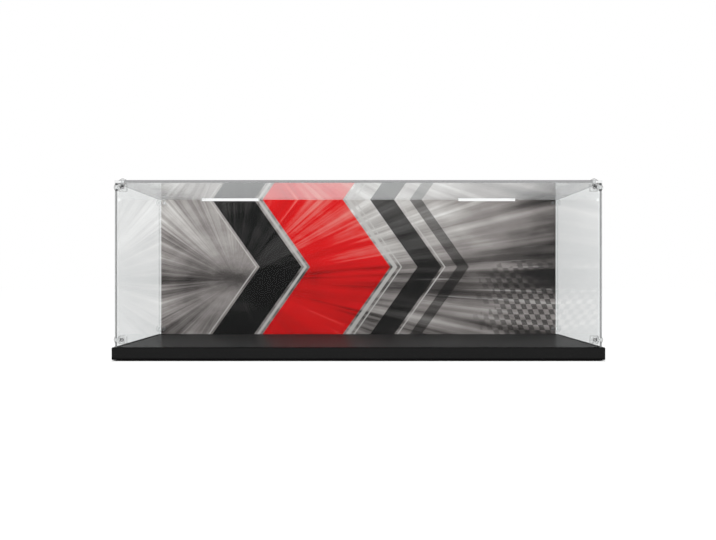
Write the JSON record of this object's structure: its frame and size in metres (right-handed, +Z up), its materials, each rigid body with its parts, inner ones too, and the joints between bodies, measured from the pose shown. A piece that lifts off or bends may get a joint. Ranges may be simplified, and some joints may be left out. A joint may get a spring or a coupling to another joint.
{
  "type": "display case",
  "caption": "Clear acrylic display case: a box cover with corner connectors, push studs and a printed background, lifting straight off a black base board.",
  "frame": {"origin": "centre of the rectangle that the feet stand on, at the feet's undersides", "axes": "+X to the viewer's right along the case's width, the front faces -Y, +Z up"},
  "size_m": [0.707, 0.327, 0.263],
  "materials": {
    "board": "satin black lacquer on fibreboard",
    "foot_rubber": "matte",
    "print": "printed sheet with a satin face",
    "acrylic": "clear polished acrylic sheet",
    "connector_plastic": "clear moulded plastic",
    "stud_plastic": "clear moulded plastic"
  },
  "bodies": {
    "base": {"base_board": "board", "rubber_feet": "foot_rubber"},
    "cover": {"front_panel": "acrylic", "back_panel": "acrylic", "left_panel": "acrylic", "right_panel": "acrylic", "top_panel": "acrylic", "background_print": "print", "connector_front_left_bottom": "connector_plastic", "connector_front_left_top": "connector_plastic", "connector_front_right_bottom": "connector_plastic", "connector_front_right_top": "connector_plastic", "connector_back_left_bottom": "connector_plastic", "connector_back_left_top": "connector_plastic", "connector_back_right_bottom": "connector_plastic", "connector_back_right_top": "connector_plastic", "studs_front": "stud_plastic", "studs_back": "stud_plastic", "studs_left": "stud_plastic", "studs_right": "stud_plastic", "studs_top": "stud_plastic"}
  },
  "joints": [
    {"name": "cover_lift", "type": "slide", "parent": "base", "child": "cover", "axis": [0, 0, 1], "range_m": [0, 0.26]}
  ]
}
